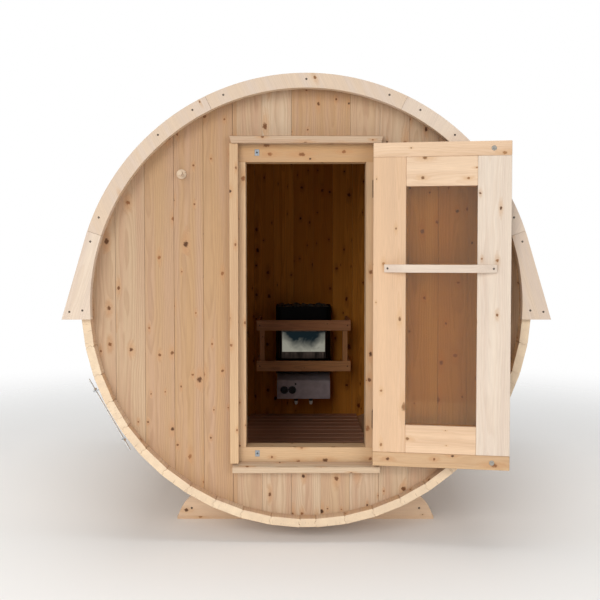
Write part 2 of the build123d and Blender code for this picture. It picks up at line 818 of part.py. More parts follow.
os.makedirs("parts", exist_ok=True)
for name, pieces in (barrel_nodes() | door_nodes()).items():
    if not isinstance(pieces, list):
        pieces = [pieces]
    solids = [solid for piece in pieces for solid in piece.solids()]
    shape = solids[0] if len(solids) == 1 else Compound(children=solids)
    export_step(shape, f"parts/{name}.step")
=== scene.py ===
import math
import random

import bmesh
import bpy
from mathutils import Matrix, Vector


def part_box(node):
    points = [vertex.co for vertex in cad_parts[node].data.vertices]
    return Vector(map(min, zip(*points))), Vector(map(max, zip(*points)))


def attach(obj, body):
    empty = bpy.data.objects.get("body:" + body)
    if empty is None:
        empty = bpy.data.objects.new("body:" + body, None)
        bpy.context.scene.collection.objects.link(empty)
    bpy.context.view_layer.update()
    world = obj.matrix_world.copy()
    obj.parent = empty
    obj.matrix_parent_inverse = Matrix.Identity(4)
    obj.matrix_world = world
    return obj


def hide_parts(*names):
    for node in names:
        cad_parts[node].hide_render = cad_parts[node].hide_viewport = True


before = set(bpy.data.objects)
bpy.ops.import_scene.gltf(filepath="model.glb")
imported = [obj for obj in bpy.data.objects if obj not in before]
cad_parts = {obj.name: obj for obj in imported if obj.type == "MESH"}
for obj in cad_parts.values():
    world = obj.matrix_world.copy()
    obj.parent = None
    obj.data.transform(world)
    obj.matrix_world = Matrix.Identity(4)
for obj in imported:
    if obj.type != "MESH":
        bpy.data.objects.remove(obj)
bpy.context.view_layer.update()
print("Sauna loaded:", len(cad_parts), "nodes")

# The barrel lies along Y with its door at the near end, Z is up, all in metres.
barrel = {
    "axisHeight": 1.062,
    "boardPitch": 0.131,  # of the cladding on both end walls
}

# The door's leaf as it closes; the CAD frame holds it open
closedLeaf = {
    "hinge": (0.2965, -0.358),  # X and Y of the pins
    "openAngle": 170.5,  # degrees from closed to open
    "outside": -0.352, "inside": -0.312,  # Y of its faces
    "edge": 0.294,  # X of its edge at the hinges
}


# Camera

cameraLook = {
    "place": (-0.038, -4.272, 1.310),
    "lens": 53.2,  # mm on a 36 mm sensor
    "pitchDown": 2.2,  # degrees
    "shift": (0.0040, -0.0290),
}


def makeCamera():
    camera = bpy.data.objects.new("camera", bpy.data.cameras.new("camera"))
    bpy.context.scene.collection.objects.link(camera)
    camera.location = cameraLook["place"]
    camera.rotation_euler = (math.radians(90 - cameraLook["pitchDown"]), 0, 0)
    camera.data.sensor_width = 36
    camera.data.lens = cameraLook["lens"]
    camera.data.shift_x, camera.data.shift_y = cameraLook["shift"]
    bpy.context.scene.camera = camera


makeCamera()
print("Camera placed")


# Materials

def linearColour(code):
    # an sRGB hex code as the linear colour that the shaders take
    parts = [int(code[i:i + 2], 16) / 255 for i in (1, 3, 5)]
    return (*[p / 12.92 if p <= 0.04045 else ((p + 0.055) / 1.055) ** 2.4 for p in parts], 1)


def addNode(tree, kind, settings=None, inputs=None):
    # Inputs go by name or number: a MapRange has the value at 0, from at 1 and 2, to at 3 and 4, and a
    # colour Mix its share at 0, its colours at 6 and 7 and the result at output 2.
    node = tree.nodes.new("ShaderNode" + kind)
    for name, value in (settings or {}).items():
        setattr(node, name, value)
    for name, value in (inputs or {}).items():
        if isinstance(value, bpy.types.NodeSocket):
            tree.links.new(value, node.inputs[name])
        elif isinstance(value, bpy.types.Node):
            tree.links.new(value.outputs[0], node.inputs[name])
        else:
            node.inputs[name].default_value = value
    return node


# settings that many nodes share
times = {"operation": "MULTIPLY"}
timesPlus = {"operation": "MULTIPLY_ADD"}
lengthOf = {"operation": "LENGTH"}
divide = {"operation": "DIVIDE"}
smoothly = {"interpolation_type": "SMOOTHSTEP"}
inColour = {"data_type": "RGBA"}


def newMaterial(name):
    material = bpy.data.materials.new(name)
    material.use_nodes = True
    material.node_tree.nodes.clear()
    return material, material.node_tree


def finished(material, shader):
    addNode(material.node_tree, "OutputMaterial", {}, {"Surface": shader})
    return material


# Planed knotty softwood: pale sapwood with soft growth rings, round brown knots with a tan
# halo that the grain flows round, and a slight difference in tint from board to board.
# The tones are of pale and warm boards, rosy streaks, the rings and the ends; the rings have a spacing
# and a strength; a knot cell is a knot's room along and across the grain, and a share of them has one.
woodLooks = {
    # the staves: honey coloured, dry and matt
    "staveCedar": {
        "tones": ("#D9C2A6", "#C9A580", "#D2B095", "#A9845F", "#E2CDB0"),
        "knotCell": (0.17, 0.075), "knotShare": 0.42, "knotRadius": (0.0026, 0.0115),
        "rings": (0.0065, 0.24), "roughness": 0.62,
    },
    # the end walls outside: browner, with more and larger knots
    "wallCedar": {
        "tones": ("#C6B096", "#B4916C", "#BF9C80", "#947050", "#C4A480"),
        "knotCell": (0.16, 0.066), "knotShare": 0.54, "knotRadius": (0.0036, 0.0135),
        "rings": (0.0065, 0.26), "roughness": 0.62,
    },
    # the room's side of the back wall: painted dark and orange as the warm shade inside the room, nearly
    # without sheen
    "roomCedarPaintedShade": {
        "tones": ("#DE963E", "#A4601C", "#BD7628", "#8E5018", "#A87848"),
        "knots": ("#3A1404", "#6E3410", "#8E5220"), "sheen": 0.12,
        "knotCell": (0.16, 0.066), "knotShare": 0.62, "knotRadius": (0.0030, 0.0130),
        "rings": (0.0065, 0.30), "roughness": 0.60,
    },
    # the trim rings, the handles and the stile they reach: the palest sapwood, nearly clear
    "trimCedar": {
        "tones": ("#E0D4C6", "#CFB8A0", "#D9C6B6", "#BEA288", "#CDB496"),
        "knots": ("#4A3020", "#9C7048", "#C09A74"),
        "knotCell": (0.26, 0.09), "knotShare": 0.34, "knotRadius": (0.0022, 0.0090),
        "rings": (0.0055, 0.18), "roughness": 0.58,
    },
    # the door's frame: warmer and darker than the walls, painted as the shade and warm bounce round the
    # doorway, full of small knots
    "frameCedarPaintedShade": {
        "tones": ("#CEB08C", "#BC966C", "#C4A07E", "#A67C52", "#BC966C"),
        "knotCell": (0.17, 0.05), "knotShare": 0.75, "knotRadius": (0.0042, 0.0110),
        "rings": (0.0060, 0.22), "roughness": 0.58,
    },
    # the door's leaf and the cradles: pale, with fine rings
    "doorCedar": {
        "tones": ("#E4CBB0", "#CEA47C", "#D8B696", "#BA946A", "#CDB08E"),
        "knots": ("#4A3020", "#A5794F", "#C8A077"),
        "knotCell": (0.19, 0.070), "knotShare": 0.46, "knotRadius": (0.0024, 0.0105),
        "rings": (0.0050, 0.18), "roughness": 0.56,
    },
    # the floor: reddish, roughened by feet
    "floorCedar": {
        "tones": ("#D2A488", "#B4866C", "#C4947C", "#8E6650", "#8A6450"),
        "knotCell": (0.30, 0.09), "knotShare": 0.35, "knotRadius": (0.003, 0.008),
        "rings": (0.0070, 0.30), "roughness": 0.66,
    },
    # the guard rail: red-brown, with strong rings
    "guardCedar": {
        "tones": ("#D09A66", "#B47A4E", "#C28660", "#8A5432", "#A06C46"),
        "knotCell": (0.24, 0.06), "knotShare": 0.45, "knotRadius": (0.003, 0.008),
        "rings": (0.0060, 0.30), "roughness": 0.60,
    },
}
knotTones = ("#38200F", "#8E5F3A", "#B88A60")  # the darkest heart, the lightest, and the wood round it
checkColour = "#6E4A30"

# What all the woods share. Scales are how often a pattern repeats in a metre along, across and through
# the board; lengths are in metres.
woodPattern = {
    "boardShift": (53.1, 31.7, 17.3),  # gives each board its own part of every pattern
    "knotLengths": (0.55, 1.2),  # what a length along the grain counts: less makes long knots
    "ragged": 120, "raggedBy": 1.4,  # a knot's uneven edge: every 8 mm, by so many of its radii
    "knotEdge": (1.85, 1.25),  # where a knot ends and is full, in radii with its raggedness
    "haloEdge": (3.4, 1.3),  # the same for the tan wood round it,
    "haloLengths": (0.42, 1, 1),  # which reaches far along the grain
    "pithFrom": (0, -0.045, 0.03), "pithSpread": (0, 0.09, 0.05),  # behind the face, by board
    "wander": (1.4, 7, 7), "wanderBy": 0.05,  # rings drift over 700 mm
    "bend": 0.8,  # part of a ring's spacing by which a knot moves the rings
    "streaks": (0.9, 26, 26),  # 1.1 m long, 38 mm wide
    "fibres": (14, 380, 380),  # 70 mm long, 2.6 mm wide: coarser than real, so that they show
    "checks": (0, 190, 26),  # 5 mm apart, 38 mm long
    "relief": 0.0007,
}


def stretchedNoise(tree, grain, scales, shift, detail, roughness=0.5):
    place = addNode(tree, "VectorMath", timesPlus, {0: grain, 1: scales, 2: shift})
    noise = addNode(tree, "TexNoise", {}, {
        "Vector": place, "Scale": 1, "Detail": detail, "Roughness": roughness})
    return noise.outputs[0]


def softwood(name, look):
    material, tree = newMaterial(name)
    grain, knotPlace = [addNode(tree, "Attribute", {"attribute_name": key}).outputs["Vector"]
                        for key in ("grain", "knotPlace")]
    board, endFace, tint = [addNode(tree, "Attribute", {"attribute_name": key}).outputs["Fac"]
                            for key in ("board", "endFace", "tint")]
    pale, warm, rosy, ring, end = [linearColour(code) for code in look["tones"]]
    darkest, lightest, around = [linearColour(code) for code in look.get("knots", knotTones)]
    shift = addNode(tree, "VectorMath", times, {0: board, 1: woodPattern["boardShift"]})

    # knots: one in some cells of a grid that is long along the grain
    long, wide = look["knotCell"]
    share = look["knotShare"]
    cell = addNode(tree, "VectorMath", timesPlus, {0: knotPlace, 1: (1 / long, 1 / wide, 0), 2: shift})
    cells = addNode(tree, "TexVoronoi", {"voronoi_dimensions": "2D"}, {
        "Vector": cell, "Scale": 1, "Randomness": 0.9})
    away = addNode(tree, "VectorMath", {"operation": "SUBTRACT"}, {0: cell, 1: cells.outputs["Position"]})
    draw = addNode(tree, "SeparateColor", {}, {0: cells.outputs["Color"]})  # three random numbers
    longest, shortest = woodPattern["knotLengths"]
    squeeze = addNode(tree, "MapRange", {}, {
        0: draw.outputs[0], 2: share, 3: long * longest, 4: long * shortest})
    scale = addNode(tree, "CombineXYZ", {}, {0: squeeze, 1: wide, 2: 0})
    away = addNode(tree, "VectorMath", times, {0: away, 1: scale})
    flame = addNode(tree, "VectorMath", times, {0: away, 1: woodPattern["haloLengths"]})
    flame = addNode(tree, "VectorMath", lengthOf, {0: flame}).outputs["Value"]
    away = addNode(tree, "VectorMath", lengthOf, {0: away}).outputs["Value"]
    low, high = look["knotRadius"]
    few = addNode(tree, "Math", {"operation": "POWER"}, {0: draw.outputs[1], 1: 1.4})  # few large knots
    radius = addNode(tree, "MapRange", {}, {0: few, 3: low, 4: high})
    present = addNode(tree, "Math", {"operation": "LESS_THAN"}, {0: draw.outputs[0], 1: share})
    radius = addNode(tree, "Math", times, {0: radius, 1: present})
    sideFace = addNode(tree, "Math", {"operation": "SUBTRACT"}, {0: 1, 1: endFace})  # none in an end
    radius = addNode(tree, "Math", times, {0: radius, 1: sideFace})
    radius = addNode(tree, "Math", {"operation": "MAXIMUM"}, {0: radius, 1: 0.00001})  # never nothing
    ratio = addNode(tree, "Math", divide, {0: away, 1: radius})
    rough = addNode(tree, "TexNoise", {}, {"Vector": grain, "Scale": woodPattern["ragged"], "Detail": 3})
    ragged = {0: rough.outputs[0], 1: woodPattern["raggedBy"]}
    ratio = addNode(tree, "Math", timesPlus, {**ragged, 2: ratio})
    edge, full = woodPattern["knotEdge"]
    knot = addNode(tree, "MapRange", smoothly, {0: ratio, 1: edge, 2: full})
    flame = addNode(tree, "Math", divide, {0: flame, 1: radius})
    flame = addNode(tree, "Math", timesPlus, {**ragged, 2: flame})
    edge, full = woodPattern["haloEdge"]
    halo = addNode(tree, "MapRange", smoothly, {0: flame, 1: edge, 2: full})

    # growth rings round a pith line behind the board's face, bent by the knots
    pith = addNode(tree, "VectorMath", timesPlus, {
        0: board, 1: woodPattern["pithSpread"], 2: woodPattern["pithFrom"]})
    across = addNode(tree, "VectorMath", timesPlus, {0: grain, 1: (0, 1, 1), 2: pith})
    across = addNode(tree, "VectorMath", lengthOf, {0: across}).outputs["Value"]
    wander = stretchedNoise(tree, grain, woodPattern["wander"], shift, 3)
    across = addNode(tree, "Math", timesPlus, {0: wander, 1: woodPattern["wanderBy"], 2: across})
    spacing, strength = look["rings"]
    across = addNode(tree, "Math", timesPlus, {0: halo, 1: spacing * woodPattern["bend"], 2: across})
    turns = addNode(tree, "Math", divide, {0: across, 1: spacing})
    turn = addNode(tree, "Math", {"operation": "FRACT"}, {0: turns})
    late = addNode(tree, "MapRange", smoothly, {0: turn, 1: 0.25, 2: 0.9})  # slowly darker,
    ends = addNode(tree, "MapRange", {}, {0: turn, 1: 0.92, 3: 1, 4: 0})  # then pale at once
    rings = addNode(tree, "Math", times, {0: late, 1: ends})

    # broad streaks and fine fibres along the grain
    streaks = stretchedNoise(tree, grain, woodPattern["streaks"], shift, 3)
    fibres = stretchedNoise(tree, grain, woodPattern["fibres"], shift, 4, 0.6)

    # colours, from the whole board down to the knots
    tone = addNode(tree, "Mix", inColour, {0: tint, 6: pale, 7: warm})
    streakShare = addNode(tree, "MapRange", smoothly, {0: streaks, 1: 0.35, 2: 0.75, 4: 0.9})
    tone = addNode(tree, "Mix", inColour, {0: streakShare, 6: tone.outputs[2], 7: rosy})
    ringShare = addNode(tree, "Math", times, {0: rings, 1: strength})
    tone = addNode(tree, "Mix", inColour, {0: ringShare, 6: tone.outputs[2], 7: ring})
    endShare = addNode(tree, "Math", times, {0: endFace, 1: 0.75})
    tone = addNode(tree, "Mix", inColour, {0: endShare, 6: tone.outputs[2], 7: end})
    fibreShade = addNode(tree, "MapRange", {}, {0: fibres, 1: 0.25, 2: 0.75, 3: 0.90, 4: 1.06})
    streakShade = addNode(tree, "MapRange", {}, {0: streaks, 1: 0.3, 2: 0.7, 3: 1.05, 4: 0.93})
    shade = addNode(tree, "Math", times, {0: fibreShade, 1: streakShade})
    tone = addNode(tree, "VectorMath", times, {0: tone.outputs[2], 1: shade})
    haloShare = addNode(tree, "Math", times, {0: halo, 1: 0.5})
    tone = addNode(tree, "Mix", inColour, {0: haloShare, 6: tone, 7: around})
    mostlyLight = addNode(tree, "Math", {"operation": "POWER"}, {0: draw.outputs[2], 1: 0.65})
    heart = addNode(tree, "Mix", inColour, {0: mostlyLight, 6: darkest, 7: lightest})
    tone = addNode(tree, "Mix", inColour, {0: knot, 6: tone.outputs[2], 7: heart.outputs[2]})

    # short drying checks in the end grain
    checks = stretchedNoise(tree, grain, woodPattern["checks"], shift, 2)
    checks = addNode(tree, "MapRange", {}, {0: checks, 1: 0.66, 2: 0.74, 4: 0.5})
    checks = addNode(tree, "Math", times, {0: checks, 1: endFace})
    tone = addNode(tree, "Mix", inColour, {0: checks, 6: tone.outputs[2], 7: linearColour(checkColour)})

    # planed, so only slightly raised latewood and fibres, and shallow knots
    relief = addNode(tree, "Math", timesPlus, {0: fibres, 1: 0.5, 2: rings})
    relief = addNode(tree, "Math", timesPlus, {0: knot, 1: -1.0, 2: relief})
    bump = addNode(tree, "Bump", {}, {
        "Strength": 0.35, "Distance": woodPattern["relief"], "Height": relief})
    rough = look["roughness"]
    gloss = addNode(tree, "MapRange", {}, {0: fibres, 3: rough - 0.08, 4: rough + 0.10})
    shader = addNode(tree, "BsdfPrincipled", {}, {
        "Base Color": tone.outputs[2], "Roughness": gloss, "Normal": bump, "IOR": 1.48,
        "Specular IOR Level": look.get("sheen", 0.5)})
    return finished(material, shader)


woods = {name: softwood(name, look) for name, look in woodLooks.items()}
print("Wood materials ready:", len(woods))


# Wooden pieces: each CAD solid becomes a board with rounded edges that knows its own grain

def islandsOf(bm):
    # the separate boards of a mesh, always in the same order
    seen = set()
    found = []
    for start in bm.verts:
        queue = [] if start in seen else [start]
        seen.add(start)
        island = []
        while queue:
            vert = queue.pop()
            island.append(vert)
            for edge in vert.link_edges:
                other = edge.other_vert(vert)
                if other not in seen:
                    seen.add(other)
                    queue.append(other)
        if island:
            found.append(island)
    return found


def boardFrame(verts, grainAlong):
    # the grain's direction, the way across the board and the way through it
    faces = sorted({face for vert in verts for face in vert.link_faces}, key=lambda face: face.index)
    edges = sorted({edge for vert in verts for edge in vert.link_edges}, key=lambda edge: edge.index)
    if grainAlong:
        along = Vector(grainAlong)
    else:
        longest = max(edges, key=lambda edge: round(edge.calc_length(), 5))
        along = longest.verts[1].co - longest.verts[0].co
    along.normalize()
    sides = [face for face in faces if abs(face.normal.dot(along)) < 0.5]
    broad = max(sides, key=lambda face: round(face.calc_area(), 6))
    through = (broad.normal - along * broad.normal.dot(along)).normalized()
    return Matrix((along, through.cross(along), through))


def slabBetween(bm, left, right):
    # the part of a slab between two places along X, closed at the cuts
    part = bm.copy()
    for place, side in ((left, -1), (right, 1)):
        everything = part.verts[:] + part.edges[:] + part.faces[:]
        bmesh.ops.bisect_plane(part, geom=everything, dist=1e-6, plane_co=(place, 0, 0),
                               plane_no=(side, 0, 0), clear_outer=True)
        bmesh.ops.holes_fill(part, edges=[edge for edge in part.edges if edge.is_boundary], sides=0)
    return part


cladding = {
    "gaps": (0.0004, 0.0018),  # widths of the joints, some tighter than others
    "tongue": 0.006,  # reach of the tongue on either side of its joint
    "tongueShare": 0.3,  # of the board's thickness
}


def cutIntoBoards(bm, joints):
    # boards between the joints, each with a thin tongue across the joint beside it
    result = bmesh.new()
    chance = random.Random(len(joints))
    half = [chance.uniform(*cladding["gaps"]) / 2 for _ in joints]
    middle = (min(vert.co.y for vert in bm.verts) + max(vert.co.y for vert in bm.verts)) / 2
    for number, (left, right) in enumerate(zip(joints, joints[1:])):
        board = slabBetween(bm, left + half[number], right - half[number + 1])
        seam = slabBetween(bm, right - cladding["tongue"], right + cladding["tongue"])
        for vert in seam.verts:
            vert.co.y = middle + (vert.co.y - middle) * cladding["tongueShare"]
        for part in (board, seam):
            if part.faces:
                sheet = bpy.data.meshes.new("part")
                part.to_mesh(sheet)
                result.from_mesh(sheet)
                bpy.data.meshes.remove(sheet)
            part.free()
    bm.free()
    return result


def weighNormals(mesh, smoothUnder):
    # each corner's normal by the area of the faces round it, so that flat faces shade flat beside rounds
    least = math.cos(math.radians(smoothUnder))
    around = [[] for _ in mesh.vertices]
    faces = [(face.normal.copy(), face.area, face.vertices[:]) for face in mesh.polygons]
    for normal, area, corners in faces:
        for corner in corners:
            around[corner].append((normal, area))
    normals = []
    for normal, area, corners in faces:
        for corner in corners:
            total = Vector()
            for other, weight in around[corner]:
                if other.dot(normal) > least:
                    total += other * weight
            normals.append(total.normalized())
    mesh.normals_split_custom_set(normals)


def newPiece(name, bm, material, body, nodes=(), smoothUnder=40):
    # a mesh object that rides on a body of the frame and stands for some of its nodes
    mesh = bpy.data.meshes.new(name)
    bm.to_mesh(mesh)
    bm.free()
    mesh.shade_smooth()
    weighNormals(mesh, smoothUnder)
    mesh.materials.append(material)
    piece = bpy.data.objects.new(name, mesh)
    bpy.context.scene.collection.objects.link(piece)
    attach(piece, body)
    if nodes:
        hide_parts(*nodes)
    return piece


def copyOf(node):
    # a CAD node's mesh, its triangles joined back into flat faces
    bm = bmesh.new()
    bm.from_mesh(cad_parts[node].data)
    bmesh.ops.remove_doubles(bm, verts=bm.verts[:], dist=1e-5)
    bmesh.ops.dissolve_limit(bm, angle_limit=0.008, verts=bm.verts[:], edges=bm.edges[:])
    return bm


def roundEdges(bm, size, segments):
    # small rounds that catch the light, where faces meet at more than 25 degrees
    sharp = [e for e in bm.edges if e.is_manifold and e.calc_face_angle(0) > math.radians(25)]
    bmesh.ops.bevel(bm, geom=sharp, offset=size, segments=segments, profile=0.5, affect="EDGES",
                    clamp_overlap=True)


def woodPiece(node, look, body="barrel", grainAlong=None, joints=None, edge=0.0012, tints=(0, 1),
              shades=None, columns=None, other=None, draw=""):
    # tints bound a random tone for each board, shades give each board's own tone from the lowest board up,
    # columns the same from the left-hand joint on, other is a second look and the test that tells its faces,
    # draw gives other knots
    bm = copyOf(node)
    if joints:
        bm = cutIntoBoards(bm, joints)
    roundEdges(bm, edge, 2)
    grain = bm.verts.layers.float_vector.new("grain")
    knotPlace = bm.loops.layers.float_vector.new("knotPlace")
    board = bm.verts.layers.float.new("board")
    tint = bm.verts.layers.float.new("tint")
    endFace = bm.faces.layers.float.new("endFace")
    bm.normal_update()
    bm.edges.index_update()
    bm.faces.index_update()
    chance = random.Random(node + draw)
    order = lambda part: part[0].co.z if shades else tuple(round(c, 3) for c in part[0].co)
    for number, verts in enumerate(sorted(islandsOf(bm), key=order)):
        turn = boardFrame(verts, grainAlong)
        middle = sum((vert.co for vert in verts), Vector()) / len(verts)
        seed = chance.random()
        tone = shades[number] if shades else tints[0] + (tints[1] - tints[0]) * chance.random()
        if columns:
            tone = columns[int((middle.x - joints[0]) / (joints[1] - joints[0]))]
        for vert in verts:
            vert[grain] = turn @ (vert.co - middle)
            vert[board] = seed
            vert[tint] = tone
            for corner in vert.link_loops:
                normal = turn @ corner.face.normal
                corner.face[endFace] = 1.0 if abs(normal.x) > 0.8 else 0.0
                along, across, through = vert[grain]
                # round knots on the board's narrow faces too
                narrow = abs(normal.y) > abs(normal.z)
                corner[knotPlace] = (along, through + 0.5 if narrow else across, 0)
    if other:
        for face in bm.faces:
            face.material_index = 1 if other[1](face) else 0
    piece = newPiece("wood_" + node, bm, woods[look], body, [node])
    if other:
        piece.data.materials.append(woods[other[0]])
    return piece


boardJoints = [(number - 7.5) * barrel["boardPitch"] for number in range(16)]
alongBarrel, upright, acrossFront = (0, 1, 0), (0, 0, 1), (1, 0, 0)
leftColumnsPaintedShade = (0.40, 0.45, 0.9, 1.0, 1.0, 1.0)  # painted shade: the boards beside the door get the warmest, darkest tints, the far left ones paler as if lit
# the room's side of the back wall takes the look with painted shade
roomSide = ("roomCedarPaintedShade", lambda face: face.normal.y < -0.5)

for eighth in ("bottom", "lower_right", "right", "upper_right", "top", "upper_left", "left", "lower_left"):
    woodPiece("staves_" + eighth, "staveCedar", grainAlong=alongBarrel)
for place in ("front_wall_left", "front_wall_right", "front_wall_over_door", "front_wall_under_door"):
    woodPiece(place, "wallCedar", grainAlong=upright, joints=boardJoints, edge=0.0018,
              columns=leftColumnsPaintedShade if place == "front_wall_left" else None)
woodPiece("back_wall", "wallCedar", grainAlong=upright, joints=boardJoints, edge=0.0018,
          other=roomSide)
print("Barrel and end walls boarded")

# the header's warmest tint paints the shade under the head cap, and the jambs' palest tints paint light into
# their shaded reveals
framePaintedLightTints = {
    "door_jambs": (0.0, 0.2), "door_header": (0.9, 0.9), "door_sill": (0.3, 0.3),
    "door_casing_sides": (0.2, 0.5),
}
doorShades = {"door_end_rails": (0.4, 0.35), "door_hinge_stile": (0.6,), "door_inner_rails": (0.4, 0.2)}
# painted shadow: the door's bottom rail takes the frame's darker look below this height
bottomRailUnder = 0.42  # metres up
bottomRailPaintedShadow = ("frameCedarPaintedShade", lambda face: face.calc_center_median().z < bottomRailUnder)

for node in ("front_fascia_top", "front_fascia_sides", "front_fascia_feet", "rear_fascia"):
    woodPiece(node, "trimCedar", edge=0.0015)
for node, tints in framePaintedLightTints.items():
    woodPiece(node, "frameCedarPaintedShade", edge=0.0015, tints=tints, draw="second")
for node in ("door_head_cap", "door_sill_cap"):
    woodPiece(node, "wallCedar", edge=0.0015, tints=(0, 0.2))
for node, shades in doorShades.items():
    woodPiece(node, "doorCedar", body="door", edge=0.0010, shades=shades,
              other=bottomRailPaintedShadow if node == "door_end_rails" else None)
for node in ("door_lock_stile", "door_inside_handle", "door_outside_handle"):
    woodPiece(node, "trimCedar", body="door", edge=0.0010, tints=(0.1, 0.4))
for node in ("front_cradle", "rear_cradle", "cradle_strips"):
    woodPiece(node, "doorCedar", grainAlong=acrossFront, tints=(0.2, 0.6))
for node in ("floor_slats", "floor_bearers"):
    woodPiece(node, "floorCedar")
for node in ("guard_front_rails", "guard_side_rails", "guard_posts"):
    woodPiece(node, "guardCedar", edge=0.0015)
woodPiece("wall_peg", "trimCedar", edge=0.0006)
print("Trim, door, cradles, floor and guard rail made")


# Metals: plain sheet and castings, told apart by how they were finished. A row holds the colour and a
# darker one, the roughness from and to, the grain's scales along X, Y and Z (over 200 it is coarser than
# real, so that it shows) and the strength of the relief.
metalLooks = {
    # stainless strap and rod: cool pale grey, with fine scratches across the strap
    "brushedStainless": ("#C9CBCC", "#A9ABAD", (0.22, 0.42), (400, 12, 400), 0.12),
    # bright zinc plating: bluish, a little cloudy
    "zincPlate": ("#B3BAC0", "#8E969E", (0.30, 0.45), (160, 160, 160), 0.08),
    # nickel plating on the magnets: warm pale grey, satin
    "nickelPlate": ("#C2BDB4", "#9A958C", (0.28, 0.40), (260, 260, 260), 0.06),
    # bronze plating: dark brown metal, lighter where it is handled
    "bronzePlate": ("#7A6148", "#4C3B2C", (0.32, 0.50), (220, 220, 90), 0.10),
    # dark oxidised stainless sheet round the heater: soft upright streaks, near a mirror
    "oxidisedSheet": ("#4A403A", "#14100E", (0.08, 0.20), (90, 90, 4), 0.02),
    # rolled thread: the same steel as the strap, paler and cloudier
    "threadedStainless": ("#EDEDEC", "#DDDDDC", (0.30, 0.42), (300, 300, 300), 0.05),
    # blackened screws: dark and dull
    "blackScrew": ("#4A423C", "#2A2420", (0.35, 0.55), (500, 500, 500), 0.10),
}


def metal(name, look):
    colour, dark, (low, high), grain, relief = look
    material, tree = newMaterial(name)
    place = addNode(tree, "TexCoord").outputs["Object"]
    stretched = addNode(tree, "VectorMath", times, {0: place, 1: grain})
    wear = addNode(tree, "TexNoise", {}, {"Vector": stretched, "Scale": 1, "Detail": 4}).outputs[0]
    # clouds 70 mm wide
    clouds = addNode(tree, "TexNoise", {}, {"Vector": place, "Scale": 14, "Detail": 3}).outputs[0]
    both = addNode(tree, "Math", timesPlus, {0: clouds, 1: 0.5, 2: wear})
    share = addNode(tree, "MapRange", {}, {0: both, 1: 0.5})
    tone = addNode(tree, "Mix", inColour, {0: share, 6: linearColour(colour), 7: linearColour(dark)})
    gloss = addNode(tree, "MapRange", {}, {0: share, 3: low, 4: high})
    bump = addNode(tree, "Bump", {}, {"Strength": relief, "Distance": 0.0005, "Height": wear})
    shader = addNode(tree, "BsdfPrincipled", {}, {
        "Base Color": tone.outputs[2], "Metallic": 1.0, "Roughness": gloss, "Normal": bump})
    return finished(material, shader)


# Coatings, plastic and stone: two tones in broad patches, under a fine texture. A row holds the tones,
# the roughness from and to, the texture's scale, the strength of the relief and the refractive index.
coatLooks = {
    # stove enamel, baked: deep black, satin
    "blackEnamel": ("#060505", "#0C0A09", (0.50, 0.62), 240, 0.15, 1.2),
    # powder coat with a fine leathery texture, mauve grey
    "greyPowderCoat": ("#A69CA0", "#B6ACB0", (0.45, 0.60), 520, 0.45, 1.5),
    # moulded black phenolic knob: hard and slightly shiny
    "blackPhenolic": ("#080808", "#121111", (0.45, 0.55), 300, 0.05, 1.4),
    # moulded nylon cable gland: milky
    "paleNylon": ("#D9D5CE", "#C9C4BC", (0.38, 0.50), 300, 0.06, 1.53),
    # split olivine: dark grey-green, rough, with paler grains
    "splitOlivine": ("#2C2D2B", "#4B4C47", (0.75, 0.92), 110, 0.8, 1.6),
}


def coat(name, look):
    colour, other, (low, high), scale, relief, ior = look
    material, tree = newMaterial(name)
    place = addNode(tree, "TexCoord").outputs["Object"]
    fine = addNode(tree, "TexNoise", {}, {
        "Vector": place, "Scale": scale, "Detail": 5, "Roughness": 0.6}).outputs[0]
    broad = addNode(tree, "TexNoise", {}, {"Vector": place, "Scale": scale / 16}).outputs[0]
    share = addNode(tree, "MapRange", {}, {0: broad, 1: 0.35, 2: 0.7})
    tone = addNode(tree, "Mix", inColour, {0: share, 6: linearColour(colour), 7: linearColour(other)})
    gloss = addNode(tree, "MapRange", {}, {0: fine, 1: 0.3, 2: 0.7, 3: low, 4: high})
    bump = addNode(tree, "Bump", {}, {"Strength": relief, "Distance": 0.0006, "Height": fine})
    shader = addNode(tree, "BsdfPrincipled", {}, {
        "Base Color": tone.outputs[2], "Roughness": gloss, "Normal": bump, "IOR": ior})
    return finished(material, shader)


glassLook = {
    "tint": "#F5D091",
    "smears": 6,  # in a metre
    "roughness": (0.0, 0.05),  # clean, and where it is smeared
}


def bronzeGlass():
    # toughened float glass with a bronze tint: clear, brown, faint smears in its gloss
    material, tree = newMaterial("bronze toughened glass")
    place = addNode(tree, "TexCoord").outputs["Object"]
    smears = addNode(tree, "TexNoise", {}, {"Vector": place, "Scale": glassLook["smears"], "Detail": 4})
    clean, smeared = glassLook["roughness"]
    gloss = addNode(tree, "MapRange", {}, {0: smears, 1: 0.4, 2: 0.75, 3: clean, 4: smeared})
    shader = addNode(tree, "BsdfPrincipled", {}, {
        "Base Color": linearColour(glassLook["tint"]), "Roughness": gloss, "IOR": 1.5,
        "Transmission Weight": 1.0})
    return finished(material, shader)


paintedReflectionLook = {
    "top": "#141E22", "bottom": "#8E8C80",  # the painted reflection's tints, at the panel's top and bottom
    "roughness": 0.05,
    "waves": 16, "wavesBy": 1.1,  # 60 mm waves, and how much they shift the tints
    "upwards": (-0.55, 0.95),  # share of the top's tint at the bottom and at the top
    "sidewards": -0.7,  # what the side edges add to it, from half way out
    "relief": 0.002,
}


